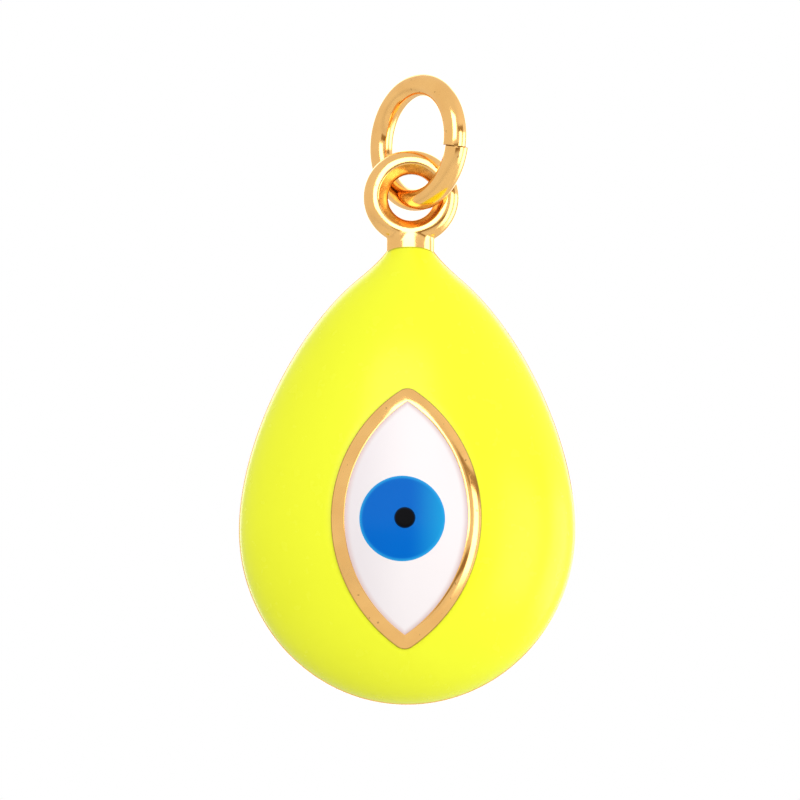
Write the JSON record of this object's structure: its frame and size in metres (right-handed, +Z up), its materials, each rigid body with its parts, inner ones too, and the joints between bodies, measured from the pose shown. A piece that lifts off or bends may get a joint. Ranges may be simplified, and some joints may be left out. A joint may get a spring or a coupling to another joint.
{
  "type": "enamelled eye charm on a jump ring",
  "caption": "Puffed teardrop charm in yellow enamel with a gold-framed eye on its front, hung by a cast loop from an open gold jump ring.",
  "frame": {"origin": "inside top of the jump ring, where a chain, a cord or a clasp carries the charm", "axes": "+Z up, from the drop to the ring; -Y the front, with the eye; +X to the right as seen from the front"},
  "size_m": [0.0145, 0.008, 0.0274],
  "materials": {
    "gold_wire": "polished, gold plated",
    "gold_plate": "polished, gold plated",
    "raw_brass": "as stamped",
    "solder": "as melted",
    "yellow_enamel": "cold resin enamel, glossy",
    "white_enamel": "cold resin enamel, glossy",
    "blue_enamel": "cold resin enamel, glossy",
    "black_enamel": "cold resin enamel, glossy"
  },
  "bodies": {
    "ring": {"jump_ring": "gold_wire"},
    "drop": {"hanging_loop": "gold_plate", "loop_solder": "solder", "front_shell": "raw_brass", "back_shell": "raw_brass", "seam_band": "gold_plate", "front_enamel": "yellow_enamel", "back_enamel": "yellow_enamel", "eye_bezel": "gold_plate", "eye_white": "white_enamel", "eye_iris": "blue_enamel", "eye_pupil": "black_enamel"}
  },
  "joints": [
    {"name": "drop_swing", "type": "hinge", "parent": "ring", "child": "drop", "pos_m": [-0.00026, 0.00036, -0.00437], "axis": [0, 1, 0], "range_deg": [-120, 120]}
  ]
}
